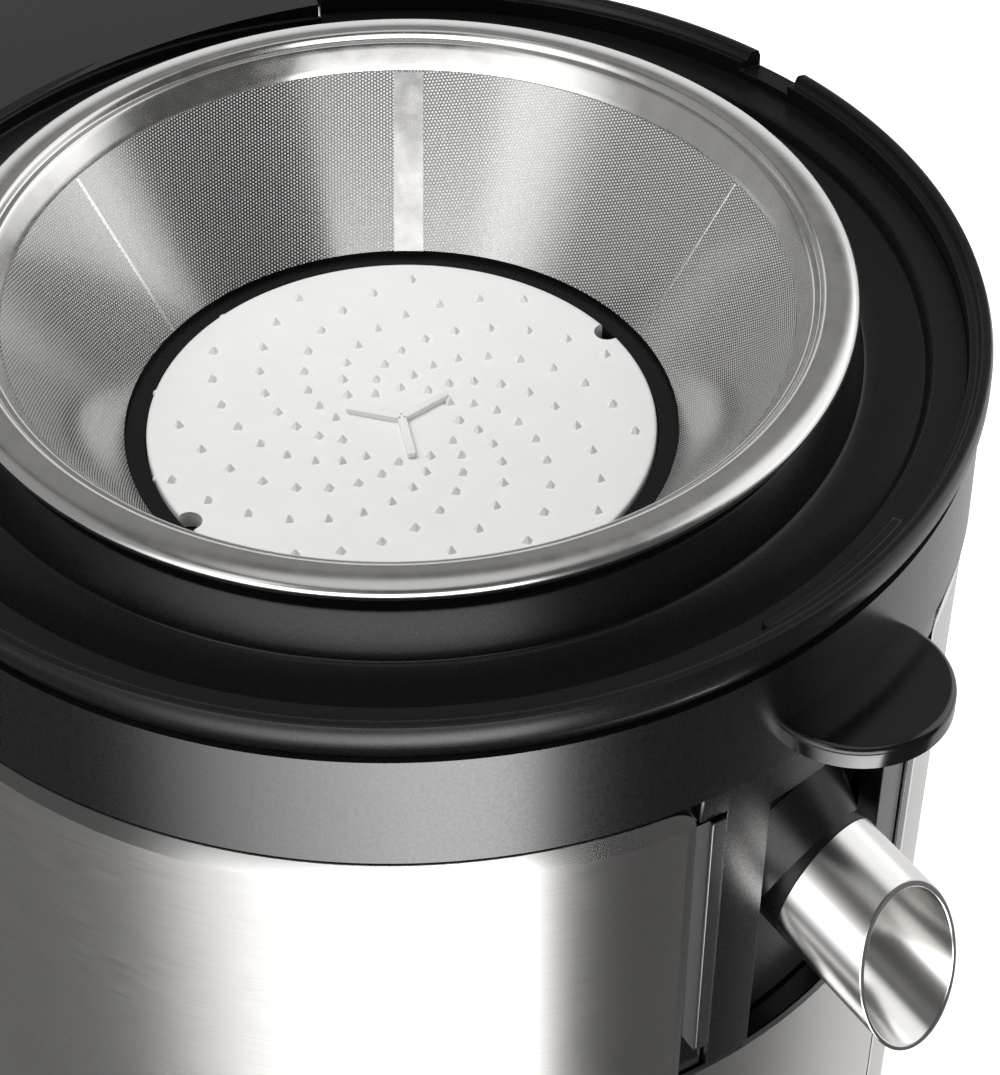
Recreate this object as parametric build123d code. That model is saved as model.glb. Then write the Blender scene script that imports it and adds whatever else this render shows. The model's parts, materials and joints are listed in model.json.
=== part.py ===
from build123d import *
import os
from math import cos, radians, sin, tan

# Centrifugal juicer, lid and feed chute taken off, filter basket in place.
# Millimetres. +Z is up the spin axis, +X is the juice spout, -X is the pulp
# side, -Y is the front with the speed knob. The origin is the spin axis at
# the surface that the feet stand on.

# ---- Driving dimensions -----------------------------------------------------
rim_z = 270.0              # filter basket rim above the table
body_r = 97.0              # outer radius of the bowl surround
skin_top_r = 96.4          # steel body radius under its polished top edge
skin_taper = 1.3           # degrees that the steel body narrows downwards
skin_thickness = 1.0
skin_top_drop = 36.1       # drops are measured down from the basket rim
skin_edge_drop = 42.3
skin_foot_z = 16.0         # height of the steel body's lower edge
panel_half_gap = 18.0      # degrees from the spout to each panel's edge
pulp_half_gap = 37.0       # degrees from the pulp side to each panel's edge
column_half = 14.6         # degrees, half width of the bowl's spout column
column_foot_drop = 104.5
deck_drop = 90.0           # floor of the well that the bowl sits in
deck_thickness = 3.0
spout_slope = 22.5         # degrees below level
spout_root_drop = 74.7     # spout axis where it crosses body_r
spout_r = 11.85            # spout's outer radius where it crosses body_r
spout_flare = 0.0147       # growth of that radius per millimetre
basket_rim_r = 76.0
mesh_top_r = 65.5
mesh_top_drop = 4.2
mesh_foot_r = 47.2
mesh_foot_drop = 30.7
mesh_thickness = 0.5
disc_r = 43.5
disc_drop = 30.8
disc_thickness = 3.2
shaft_r = 4.0
motor_bolt_x = 36.0
motor_bolt_y = 31.0
foot_ring_r = 68.0          # middle of the rubber foot ring
foot_ring_half = 6.0
screw_circle_r = 80.0
knob_z = 60.0
bin_half_width = 56.0
bin_depth = 92.0           # from the body's skin outwards
bin_top_drop = 20.0
gap = 0.4                  # clearance between neighbours


# ---- Helpers ------------------------------------------------------------------
def level(drop):
    """Height above the table of something that is drop below the basket rim."""
    return rim_z - drop


def skin_r(drop):
    """Outer radius of the tapered steel body."""
    return skin_top_r - (drop - skin_edge_drop) * tan(radians(skin_taper))


def ring(outline, start=0.0, sweep=360.0):
    """Turn a closed outline of (radius, drop) about the spin axis."""
    corners = [(radius, 0, level(drop)) for radius, drop in outline]
    face = make_face(Polyline(*corners, close=True))
    return revolve(face, Axis.Z, sweep).rotate(Axis.Z, start)


def post(radius, low, high, x=0.0, y=0.0):
    """An upright round bar between two heights."""
    bar = Cylinder(radius, high - low, align=(Align.CENTER, Align.CENTER, Align.MIN))
    return Pos(x, y, low) * bar


def tube(outer, inner, low, high, x=0.0, y=0.0):
    """An upright pipe between two heights."""
    return post(outer, low, high, x, y) - post(inner, low - 1, high + 1, x, y)


def block(x_low, x_high, y_low, y_high, z_low, z_high):
    """A box between six planes."""
    size = (x_high - x_low, y_high - y_low, z_high - z_low)
    box = Box(*size, align=(Align.MIN, Align.MIN, Align.MIN))
    return Pos(x_low, y_low, z_low) * box


def around(count, shape, first=0.0):
    """Copies of a shape, evenly spaced about the spin axis."""
    return [shape.rotate(Axis.Z, first + 360.0 * step / count) for step in range(count)]


def group(shapes):
    """Separate solids kept together in one node."""
    return Compound(children=[solid for shape in shapes for solid in shape.solids()])


def save(node, shape):
    export_step(shape, "parts/" + node + ".step")


# ---- Spout axis -----------------------------------------------------------------
spout_dir = Vector(cos(radians(spout_slope)), 0, -sin(radians(spout_slope)))
spout_root = Vector(body_r, 0, level(spout_root_drop))
seam_along = -1.66         # where the black stub meets the steel sleeve
seam_tilt = 9.3            # degrees that the seam's plane leans
end_along = 18.46          # where the open end's plane crosses the axis
end_tilt = -17.5


def spout_plane(along):
    """A plane square to the spout, a distance along it from its root."""
    return Plane(origin=spout_root + spout_dir * along, x_dir=(0, 1, 0), z_dir=spout_dir)


def spout_cut(along, tilt):
    """A leaning plane across the spout, facing outwards."""
    normal = Vector(cos(radians(tilt)), 0, -sin(radians(tilt)))
    return Plane(origin=spout_root + spout_dir * along, x_dir=(0, 1, 0), z_dir=normal)


def spout_cone(start, end, start_r, end_r):
    """A tapered round bar along the spout."""
    lowest = (Align.CENTER, Align.CENTER, Align.MIN)
    if abs(start_r - end_r) < 1e-6:
        return spout_plane(start) * Cylinder(start_r, end - start, align=lowest)
    return spout_plane(start) * Cone(start_r, end_r, end - start, align=lowest)


def spout_outer_r(along):
    return spout_r + spout_flare * along


# ---- Steel body -------------------------------------------------------------------
def skin_outline(top_drop):
    """Section of the steel skin from top_drop down to its lower edge."""
    foot_drop = rim_z - skin_foot_z
    inner = skin_thickness
    if top_drop < skin_edge_drop:
        return [
            (body_r, top_drop), (skin_r(skin_edge_drop), skin_edge_drop),
            (skin_r(foot_drop), foot_drop), (skin_r(foot_drop) - inner, foot_drop),
            (skin_r(skin_edge_drop) - inner, skin_edge_drop), (body_r - inner, top_drop),
        ]
    return [
        (skin_r(top_drop), top_drop), (skin_r(foot_drop), foot_drop),
        (skin_r(foot_drop) - inner, foot_drop), (skin_r(top_drop) - inner, top_drop),
    ]


def side_panel(first, last):
    return ring(skin_outline(skin_top_drop), first, last - first)


def front_panel():
    """Steel skin on the knob side, with the knob's hole."""
    panel = side_panel(180 + pulp_half_gap, 360 - panel_half_gap)
    return panel - Pos(0, -90, knob_z) * Rot(90, 0, 0) * Cylinder(7, 30)


def rear_panel():
    """Steel skin on the far side, with the cord gland's hole."""
    panel = side_panel(panel_half_gap, 180 - pulp_half_gap)
    return panel - Pos(0, 90, gland_z) * Rot(90, 0, 0) * Cylinder(gland_r, 30)


def spout_side_skin():
    """Steel strip under the spout column, between the two panels."""
    half = panel_half_gap - 0.4
    return ring(skin_outline(column_foot_drop + 0.9), -half, 2 * half)


def pulp_side_cover():
    """Moulded cover that closes the body behind the pulp container."""
    half = pulp_half_gap - 0.3
    return ring(skin_outline(skin_top_drop + 1), 180 - half, 2 * half)


# ---- Base -----------------------------------------------------------------------
wall_gap = skin_thickness + gap
wall_thickness = 2.6
recess_back_r = 81.5
recess_foot_drop = column_foot_drop + 0.9
recess_floor = 3.0
gland_z = 30.0
gland_r = 7.0


def base_housing():
    """Inner moulding: side wall, deck with the coupling's hole, and screw posts."""
    foot_drop = rim_z - skin_foot_z
    top_drop = 45.0
    wall = ring([
        (skin_r(top_drop) - wall_gap, top_drop),
        (skin_r(foot_drop) - wall_gap, foot_drop),
        (skin_r(foot_drop) - wall_gap - wall_thickness, foot_drop),
        (skin_r(top_drop) - wall_gap - wall_thickness, top_drop),
    ])
    deck = ring([
        (seal_r, deck_drop), (skin_r(deck_drop) - wall_gap - 1, deck_drop),
        (skin_r(deck_drop) - wall_gap - 1, deck_drop + deck_thickness),
        (seal_r, deck_drop + deck_thickness),
    ])
    posts = around(4, post(5, skin_foot_z, level(deck_drop) - 1, screw_circle_r, 0), 45)
    housing = wall + deck + posts
    recess = ring([
        (recess_back_r - 0.1, 30), (110, 30),
        (110, recess_foot_drop + recess_floor + 0.1),
        (recess_back_r - 0.1, recess_foot_drop + recess_floor + 0.1),
    ], -panel_half_gap - 0.1, 2 * panel_half_gap + 0.2)
    pilot_holes = around(4, post(2, skin_foot_z - 1, 40, screw_circle_r, 0), 45)
    housing = housing - recess - pilot_holes
    housing = housing - Pos(0, -88, knob_z) * Rot(90, 0, 0) * Cylinder(6, 20)
    return housing - Pos(0, 88, gland_z) * Rot(90, 0, 0) * Cylinder(gland_r, 20)


def spout_recess_trim():
    """Liner of the cut-out that the bowl's spout column drops into."""
    inner_half = column_half + 0.3
    depth_drop = recess_foot_drop + recess_floor
    top_drop = skirt_foot_drop + 0.5
    groove = 1.6
    shell = ring([
        (recess_back_r, deck_drop + 0.2), (recess_back_r, depth_drop),
        (skin_r(depth_drop) - wall_gap, depth_drop),
        (skin_r(top_drop) - groove, top_drop), (84, top_drop), (84, deck_drop + 0.2),
    ], -panel_half_gap + 0.1, 2 * panel_half_gap - 0.2)
    pocket = ring([
        (84, 30), (110, 30), (110, recess_foot_drop), (84, recess_foot_drop),
    ], -inner_half, 2 * inner_half)
    rib_top = 41.5
    rib_foot = 98.0
    proud = 0.5
    rib = ring([
        (skin_r(rib_top) - groove, rib_top), (skin_r(rib_top) + proud, rib_top),
        (skin_r(rib_foot) + proud, rib_foot), (skin_r(rib_foot) - groove, rib_foot),
    ], inner_half, 1.6)
    return shell - pocket + rib + rib.mirror(Plane.XZ)


def base_plate():
    """Bottom cover with vent slots, screw pockets and a groove for the foot ring."""
    rim_r = skin_r(rim_z - skin_foot_z) - 0.2
    foot = rim_z - 6
    plate = ring([
        (0, foot), (rim_r, foot), (rim_r, rim_z - skin_foot_z + 0.2),
        (rim_r - 3, rim_z - skin_foot_z + 0.2), (rim_r - 3, foot - 3), (0, foot - 3),
    ])
    slots = around(16, block(20, 46, -2, 2, 0, 20))
    clearance = around(4, post(2.4, 0, 20, screw_circle_r, 0), 45)
    pockets = around(4, post(4.2, 0, 7.6, screw_circle_r, 0), 45)
    groove = tube(foot_ring_r + foot_ring_half, foot_ring_r - foot_ring_half, 0, 7.0)
    return plate - slots - clearance - pockets - groove


def rubber_foot_ring():
    """Non-slip ring pressed into the base plate, which the juicer stands on."""
    foot = tube(foot_ring_r + foot_ring_half, foot_ring_r - foot_ring_half, 0.0, 7.0)
    return chamfer(foot.edges().group_by(Axis.Z)[0], 1.0)


def base_screws():
    screw = post(3.8, 6.3, 7.6, screw_circle_r, 0) + post(2, 7.6, 34, screw_circle_r, 0)
    return group(around(4, screw, 45))


def cord_gland():
    """Bush that the mains lead would come through, at the back."""
    outer_y = skin_r(rim_z - gland_z) + 3.0
    body = Pos(0, outer_y - 9, gland_z) * Rot(90, 0, 0) * Cylinder(gland_r - 0.1, 18)
    flange = Pos(0, outer_y - 1, gland_z) * Rot(90, 0, 0) * Cylinder(gland_r + 2.4, 2)
    bore = Pos(0, outer_y - 9, gland_z) * Rot(90, 0, 0) * Cylinder(3.6, 30)
    return body + flange - bore


# ---- Motor, fixed parts -------------------------------------------------------------
stack_low = 84.0
stack_high = 124.0
stack_x = 84.0
stack_y = 76.0
stack_bore_r = 25.0
coil_inner_y = 27.5
coil_outer_y = 36.0
coil_half_x = 26.0
coil_window_half_x = 15.0
coil_overhang = 9.0
lower_bracket_z = 44.0
upper_bracket_z = 160.0
bracket_thickness = 6.0
bearing_r = 11.0
seal_r = 15.0


def motor_corners():
    return [(x, y) for x in (-motor_bolt_x, motor_bolt_x) for y in (-motor_bolt_y, motor_bolt_y)]


def coil(side):
    """One field coil: a flat loop of wire that stands beside the armature."""
    low = stack_low - coil_overhang
    high = stack_high + coil_overhang
    near, far = sorted((side * coil_inner_y, side * coil_outer_y))
    loop = block(-coil_half_x, coil_half_x, near, far, low, high)
    window = block(-coil_window_half_x, coil_window_half_x, near - 1, far + 1,
                   stack_low, stack_high)
    return loop - window


def field_coils():
    return group([coil(-1), coil(1)])


def stator_core():
    """Laminated stack with the armature's bore, coil slots and bolt holes."""
    height = stack_high - stack_low
    outline = RectangleRounded(stack_x, stack_y, 8)
    stack = Pos(0, 0, stack_low) * extrude(outline, height)
    stack = stack - post(stack_bore_r, stack_low - 1, stack_high + 1)
    stack = stack - coil(-1) - coil(1)
    holes = [post(2.5, stack_low - 1, stack_high + 1, x, y) for x, y in motor_corners()]
    return stack - holes


def bracket(low):
    """Cast end bracket: a rounded plate with windows and a bearing seat."""
    plate = Pos(0, 0, low) * extrude(RectangleRounded(stack_x, stack_y, 8), bracket_thickness)
    boss = post(bearing_r + 4, low, low + 9)
    windows = [block(min(s * 17, s * 30), max(s * 17, s * 30), -24, 24, low - 1, low + 7)
               for s in (-1, 1)]
    holes = [post(2.5, low - 1, low + 12, x, y) for x, y in motor_corners()]
    seat = post(bearing_r, low - 1, low + 12)
    return plate + boss - windows - holes - seat


def bearing(low):
    """Ball bearing drawn as one closed ring, its inner bore clear of the shaft."""
    outer = tube(bearing_r, shaft_r + 0.05, low + 1, low + 8)
    grooves = tube(9.2, 6.4, low, low + 1.6) + tube(9.2, 6.4, low + 7.4, low + 9)
    return outer - grooves


def motor_bolts():
    high = upper_bracket_z + bracket_thickness
    low = lower_bracket_z
    bolts = [post(2.5, low, high, x, y) + post(4.5, low - 3, low, x, y)
             for x, y in motor_corners()]
    return group(bolts)


def rubber_mounts():
    """Four buffers between the motor's upper bracket and the deck."""
    low = upper_bracket_z + bracket_thickness
    high = level(deck_drop + deck_thickness)
    return group([tube(8, 3, low, high, x, y) for x, y in motor_corners()])


def brush_holder():
    case = block(14, 34, -6, 6, 138, 154)
    return case - block(13, 35, -3.2, 3.2, 141, 151)


def brush_holders():
    return group(around(2, brush_holder()))


def carbon_brushes():
    return group(around(2, block(12.5, 27, -3.1, 3.1, 141.1, 150.9)))


def shaft_seal():
    """Lip seal in the deck's hole, around the motor shaft."""
    return ring([
        (seal_r, deck_drop - 1.5), (seal_r, deck_drop + deck_thickness),
        (shaft_r + 0.5, deck_drop + deck_thickness), (shaft_r + 0.5, deck_drop + 1.5),
        (seal_r - 4, deck_drop - 1.5),
    ])


# ---- Motor, turning parts -------------------------------------------------------------
coupling_low = 183.0
coupling_high = 220.0
coupling_r = 10.5
rib_reach = 2.2
rib_half = 1.4


def motor_shaft():
    shaft = post(shaft_r, lower_bracket_z - 2, coupling_high - 4)
    return chamfer(shaft.edges().filter_by(GeomType.CIRCLE), 0.6)


def armature_core():
    """Slotted laminated core on the shaft."""
    core = tube(24.2, shaft_r, stack_low, stack_high)
    slots = around(12, block(17, 26, -1.6, 1.6, stack_low - 1, stack_high + 1))
    return core - slots


def armature_windings():
    """Wire heads above and below the core, and the wire in each slot."""
    lower = tube(22, shaft_r, stack_low - 8, stack_low)
    upper = tube(22, shaft_r, stack_high, stack_high + 8)
    wires = around(12, block(17, 23, -1.5, 1.5, stack_low, stack_high))
    return lower + upper + wires


def commutator():
    body = tube(12, shaft_r, 136, 156)
    cuts = around(24, block(11, 13, -0.3, 0.3, 135, 157))
    return body - cuts


def cooling_fan():
    """Radial fan under the armature."""
    hub = tube(9, shaft_r, 58, 72)
    disc = tube(36, 8, 69, 71)
    blades = around(12, block(8, 35, -0.8, 0.8, 59, 70).rotate(Axis((20, 0, 0), (0, 0, 1)), 14))
    return hub + disc + blades


def drive_coupling():
    """Ribbed plastic dog on the shaft's top end, which turns the basket."""
    dog = tube(coupling_r, shaft_r, coupling_low, coupling_high - 4)
    lowest = (Align.CENTER, Align.CENTER, Align.MIN)
    cap = Pos(0, 0, coupling_high - 4) * Cone(coupling_r, 6, 4, align=lowest)
    ribs = around(6, block(9.5, coupling_r + rib_reach, -rib_half, rib_half,
                           coupling_low, coupling_high - 5))
    return dog + cap + ribs


# ---- Controls ---------------------------------------------------------------------
knob_r = 19.0
bezel_r = 23.5


def facing_front(shape, y):
    """Place a shape drawn upwards so that it points out of the front."""
    return Pos(0, y, knob_z) * Rot(90, 0, 0) * shape


def knob_bezel():
    """Flat seat for the knob on the round front panel."""
    face_y = -(skin_r(rim_z - knob_z) + 3.0)
    lowest = (Align.CENTER, Align.CENTER, Align.MIN)
    seat = facing_front(Cylinder(bezel_r, 12, align=lowest), face_y + 12)
    high_drop = rim_z - knob_z - 40
    low_drop = rim_z - knob_z + 40
    body = ring([
        (0, high_drop), (skin_r(high_drop), high_drop), (skin_r(low_drop), low_drop),
        (0, low_drop),
    ])
    bore = facing_front(Cylinder(5, 40, align=lowest), face_y + 20)
    return seat - body - bore


def speed_knob():
    """Round knob with a grip bar across its face."""
    back_y = -(skin_r(rim_z - knob_z) + 3.4)
    lowest = (Align.CENTER, Align.CENTER, Align.MIN)
    disc = Cylinder(knob_r, 6, align=lowest)
    disc = chamfer(disc.edges().group_by(Axis.Z)[-1], 1.2)
    bar = Pos(0, 0, 6) * Box(9, 2 * knob_r - 6, 9, align=lowest)
    bar = fillet(bar.edges().filter_by(Axis.Z), 3.5)
    stem = Pos(0, 0, -24) * Cylinder(3, 24, align=lowest)
    return facing_front(disc + bar + stem, back_y)


def rotary_switch():
    """Switch body behind the front wall, with a bore for the knob's stem."""
    case = block(-14, 14, -82, -62, knob_z - 14, knob_z + 14)
    nose = facing_front(Cylinder(5.5, 5, align=(Align.CENTER, Align.CENTER, Align.MIN)), -81)
    bore = facing_front(Cylinder(3.3, 40), -70)
    return case + nose - bore


def control_board():
    """Motor control board, upright behind the front wall."""
    board = block(-34, 34, -64, -62.4, 96, 148)
    heatsink = block(-26, 2, -62.4, -48, 104, 124)
    capacitor = block(10, 28, -62.4, -52, 104, 116)
    return board + heatsink + capacitor


def interlock_sensor():
    """Sealed magnetic sensor that tells whether the lid is locked."""
    return block(-88, -80, -9, 9, level(74), level(58)) + block(-90.5, -87, -4, 4, level(70), level(62))


# ---- Bowl ---------------------------------------------------------------------------
surround_inner_r = 91.4
band_foot_drop = 35.8
skirt_r = 94.2
skirt_foot_drop = 43.0
shoulder_half = 17.7       # degrees, the column's wider top over the side grooves
shoulder_drop = 41.0
window_half = 15.4
window_top_drop = 44.5
ledge_r = 15.6
ledge_centre_x = 98.3
ledge_drop = 26.4
ledge_thickness = 3.8
collar_inner_r = 94.2
block_face_r = 89.5


def bowl_surround():
    """Gloss outer band of the bowl with the column that hangs over the spout."""
    band = ring([
        (body_r, 13.7), (body_r, band_foot_drop), (skirt_r, band_foot_drop),
        (skirt_r, skirt_foot_drop), (surround_inner_r, skirt_foot_drop),
        (surround_inner_r, 13.7),
    ])
    foot = column_foot_drop
    column = ring([
        (body_r, 30), (body_r, skin_top_drop), (skin_r(skin_edge_drop), skin_edge_drop),
        (skin_r(foot), foot), (surround_inner_r, foot), (surround_inner_r, 30),
    ], -column_half, 2 * column_half)
    shoulder = ring([
        (body_r, 30), (body_r, skin_top_drop), (skin_r(shoulder_drop), shoulder_drop),
        (surround_inner_r, shoulder_drop), (surround_inner_r, 30),
    ], -shoulder_half, 2 * shoulder_half)
    window = block(80, 110, -window_half, window_half, level(foot) - 5, level(window_top_drop))
    return band + (column + shoulder - window)


def lid_seat_ring():
    """Collar that the lid sits in, open towards the pulp side."""
    half = 180 - pulp_half_gap
    collar = ring([
        (collar_inner_r, 7.2), (95.3, 7.2), (96.1, 5.6), (97.4, 5.6), (98.0, 7.0),
        (98.0, 9.7), (95.75, 13.7), (collar_inner_r, 13.7),
    ], -half, 2 * half)
    tab = ring([(92.2, 7.2), (95, 7.2), (95, 9.6), (92.2, 9.6)], -10, 20)
    cutter = Pos(0, 96, level(4)) * Rot(0, 0, -22) * Box(10.2, 14, 10)
    notch = cutter.rotate(Axis.Z, -0.8)
    return collar + tab - notch - notch.mirror(Plane.XZ)


def finger_ledge():
    """Half-round lip over the spout for lifting the bowl off."""
    top = level(ledge_drop)
    disc = post(ledge_r, top - ledge_thickness, top, ledge_centre_x, 0)
    disc = fillet(disc.edges().group_by(Axis.Z)[-1], 1.2)
    return disc - post(body_r, top - 10, top + 10)


channel_foot_drop = 15.8
bowl_wall_r = 76.0
bowl_wall_inner_r = 73.0
bowl_floor_drop = 79.0
stub_bore_r = 10.2
stub_neck_r = 10.95


def spout_bore():
    """Way for the juice through the bowl's wall and the stub."""
    bore = spout_cone(-34, 10, stub_bore_r, stub_bore_r)
    return bore + spout_cone(-10, 10, stub_neck_r, stub_neck_r)


def splash_channel():
    """Flared lip, gutter and flange around the basket's rim."""
    return ring([
        (73.5, 5.4), (77.0, 11.8), (78.2, 13.0), (87.2, 13.0), (88.2, 10.4),
        (collar_inner_r, 10.4), (collar_inner_r, 13.7), (89.8, 13.7), (88.8, channel_foot_drop),
        (72.5, channel_foot_drop), (71.3, 5.4),
    ])


def juice_bowl():
    """Round well that catches the juice, open in the middle for the drive."""
    bowl = ring([
        (72.5, channel_foot_drop), (bowl_wall_r, channel_foot_drop),
        (bowl_wall_r, bowl_floor_drop), (21.5, bowl_floor_drop), (21.5, 44.0), (24.0, 44.0),
        (24.0, 72.0), (bowl_wall_inner_r, 76.0), (bowl_wall_inner_r, 20.0),
    ])
    return bowl - spout_bore()


def spout_block():
    """Outlet between the well and the column, with the black stub of the spout."""
    face = post(block_face_r, level(104.3), level(channel_foot_drop))
    outlet = block(74, 95, -16.8, 16.8, level(86), level(channel_foot_drop))
    skirt = block(85.4, 95, -16.8, 16.8, level(104.3), level(85))
    outlet = (outlet + skirt) & face
    stub = spout_cone(-16, 6, spout_outer_r(-16), spout_outer_r(6))
    root = spout_cone(-14, -5.5, 15.5, spout_outer_r(-5.5))
    stub = split(stub + root, spout_cut(seam_along, seam_tilt), keep=Keep.BOTTOM)
    stub = stub - post(block_face_r - 6, level(110), level(10))
    return outlet + stub - post(bowl_wall_r, level(110), level(10)) - spout_bore()


def spout_sleeve():
    """Flared steel sleeve with an obliquely cut open end and a neck in the stub."""
    skin = spout_cone(-8, 40, spout_outer_r(-8), spout_outer_r(40))
    skin = split(skin, spout_cut(seam_along, seam_tilt), keep=Keep.TOP)
    neck = spout_cone(-10, 2, 10.9, 10.9)
    bore = spout_cone(-12, 44, 10.15, 12.05)
    sleeve = skin + neck - bore
    return split(sleeve, spout_cut(end_along, end_tilt), keep=Keep.BOTTOM)


shelf_near_x = 70.0
shelf_far_x = 138.0
shelf_half_width = 60.0
shelf_thickness = 2.6
shelf_slope = 7.0          # degrees


def pulp_shelf():
    """Sloping shelf that carries pulp from the lid's chute into the container."""
    half = pulp_half_gap - 0.2
    length = shelf_far_x - shelf_near_x
    plate = Pos(-(shelf_far_x + shelf_near_x) / 2, 0, 0) * Box(
        length, 2 * shelf_half_width, shelf_thickness)
    plate = fillet(plate.edges().filter_by(Axis.Z).group_by(Axis.X)[0], 12)
    hinge = Axis((-94.5, 0, 0), (0, 1, 0))
    plate = plate.rotate(hinge, -shelf_slope)
    plate = Pos(0, 0, level(10.8) - shelf_thickness / 2) * plate
    inner = post(collar_inner_r + 0.3, level(40), level(-20))
    collar_side = ring([(90, -20), (98.4, -20), (98.4, 40), (90, 40)],
                       -(180 - half), 2 * (180 - half))
    saddle = ring([
        (collar_inner_r, 10.8), (96.5, 10.8), (96.5, 13.7), (collar_inner_r, 13.7),
    ], 180 - half, 2 * half)
    return plate - inner - collar_side + saddle


# ---- Filter basket ------------------------------------------------------------------
carrier_low_drop = 37.0
weld_angles = (72.0, 192.0, 312.0)
seam_angle = 132.5
seam_width = 5.3


def cone_band(inward, outward, low_drop=mesh_foot_drop, high_drop=mesh_top_drop):
    """Conical layer over the mesh between two offsets from its inner face."""
    slope = (mesh_top_r - mesh_foot_r) / (mesh_foot_drop - mesh_top_drop)
    low_r = mesh_foot_r + slope * (mesh_foot_drop - low_drop)
    high_r = mesh_foot_r + slope * (mesh_foot_drop - high_drop)
    return ring([
        (high_r - inward, high_drop), (high_r + outward, high_drop),
        (low_r + outward, low_drop), (low_r - inward, low_drop),
    ])


def basket_rim():
    """Rolled rim with its smooth band."""
    return ring([
        (mesh_top_r, mesh_top_drop), (68.3, 0.0), (69.4, -0.7), (69.6, -0.5), (70.2, -1.4),
        (72.5, -1.35), (74.6, -1.0), (75.7, -0.3), (basket_rim_r, 0.6), (75.4, 1.5),
        (74.2, 1.85), (74.2, 1.1), (74.8, 0.5), (73.6, -0.2), (70.6, -0.4),
        (69.0, 0.6), (mesh_top_r + mesh_thickness, mesh_top_drop),
    ])


def basket_mesh():
    return cone_band(0, mesh_thickness)


def strip_on_mesh(angle, width, thickness):
    """A narrow strip that lies on the inside of the mesh."""
    layer = cone_band(thickness, 0, mesh_foot_drop - 0.1, mesh_top_drop + 0.1)
    slab = block(30, 80, -width / 2, width / 2, level(40), level(-5)).rotate(Axis.Z, angle)
    return layer & slab


def mesh_seam_strip():
    """Plain lap where the rolled mesh sheet is joined."""
    return strip_on_mesh(seam_angle, seam_width, 0.3)


def mesh_weld_lines():
    return group([strip_on_mesh(angle, 0.5, 0.12) for angle in weld_angles])


def disc_carrier():
    """Moulded floor of the basket that holds the mesh and the grating disc."""
    recess_drop = disc_drop + disc_thickness
    floor = ring([
        (8, recess_drop), (disc_r + 0.3, recess_drop), (disc_r + 0.3, disc_drop + 0.9),
        (mesh_foot_r, disc_drop + 0.9), (mesh_foot_r, disc_drop), (mesh_foot_r + 0.7, disc_drop),
        (mesh_foot_r + 0.7, carrier_low_drop), (28.5, carrier_low_drop), (28.5, 50),
        (26.5, 50), (26.5, carrier_low_drop - 1), (8, carrier_low_drop - 1),
    ])
    return floor - carrier_screw_bars()


tooth_count = 115
first_tooth_r = 8.6
tooth_r_step = 0.285       # growth of the spiral from one tooth to the next
first_tooth_angle = 167.0
tooth_angle_step = 30.9
tooth_base_r = 0.95
tooth_tip_r = 0.12
tooth_height = 1.35


def tooth_places():
    """Centres of the grating teeth, along one spiral that opens outwards."""
    places = []
    for step in range(tooth_count):
        radius = first_tooth_r + tooth_r_step * step
        angle = radians(first_tooth_angle - tooth_angle_step * step)
        places.append((radius * cos(angle), radius * sin(angle)))
    return places


def grating_disc():
    """Ceramic grating disc with pyramid teeth, two tool notches and a centre ridge."""
    top = level(disc_drop)
    disc = post(disc_r, top - disc_thickness, top)
    notch = post(2.25, top - 10, top + 10, disc_r - 0.6, 0)
    disc = disc - notch.rotate(Axis.Z, 77) - notch.rotate(Axis.Z, -101)
    lowest = (Align.CENTER, Align.CENTER, Align.MIN)
    tooth = Cone(tooth_base_r, tooth_tip_r, tooth_height, align=lowest)
    teeth = [Pos(x, y, top - 0.02) * tooth for x, y in tooth_places()]
    ridge = block(0, 10, -0.8, 0.8, top - 0.1, top + 1.2)
    ridges = [ridge.rotate(Axis.Z, angle) for angle in (206.6, -36.0, 82.8)]
    return disc + teeth + ridges


def drive_bush():
    """Socket under the basket that drops over the ribbed coupling."""
    high = level(carrier_low_drop - 1)
    low = level(62)
    bush = post(17, low, high) - post(13.6, low - 1, high - 6)
    ribs = around(6, block(11.3, 14, -rib_half, rib_half, low, high - 6), 30)
    return bush + ribs - carrier_screw_bars()


def carrier_screw_bars():
    high = level(disc_drop + disc_thickness)
    return around(3, post(1.4, level(40), high, 15, 0), 15)


def carrier_screws():
    """Screws that clamp the disc carrier between the disc and the drive bush."""
    return group(carrier_screw_bars())


# ---- Pulp container -----------------------------------------------------------------
def bin_outline(shrink):
    """Plan of the container: hollow towards the body, rounded outside."""
    far_x = body_r + bin_depth - shrink
    half = bin_half_width - shrink
    plan = Pos(-(far_x + 60) / 2, 0) * RectangleRounded(far_x - 60, 2 * half, 30 - shrink)
    return plan - Circle(body_r + 2.2 + shrink)


def pulp_container():
    """Open container that catches the pulp, with a grip moulded on its outside."""
    wall = 2.6
    low = 1.0
    high = level(bin_top_drop)
    shell = Pos(0, 0, low) * extrude(bin_outline(0), high - low)
    hollow = Pos(0, 0, low + wall) * extrude(bin_outline(wall), high - low)
    grip_x = body_r + bin_depth
    bow = block(-grip_x - 24, -grip_x + 1, -9, 9, high - 110, high - 14)
    bow = fillet(bow.edges().filter_by(Axis.Y), 10)
    hand_gap = block(-grip_x - 15, -grip_x + 2, -12, 12, high - 100, high - 24)
    hand_gap = fillet(hand_gap.edges().filter_by(Axis.Y).group_by(Axis.X)[0], 6)
    handle = bow - hand_gap
    handle = handle - (Pos(0, 0, low) * extrude(bin_outline(wall / 2), high))
    return shell - hollow + handle


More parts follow.
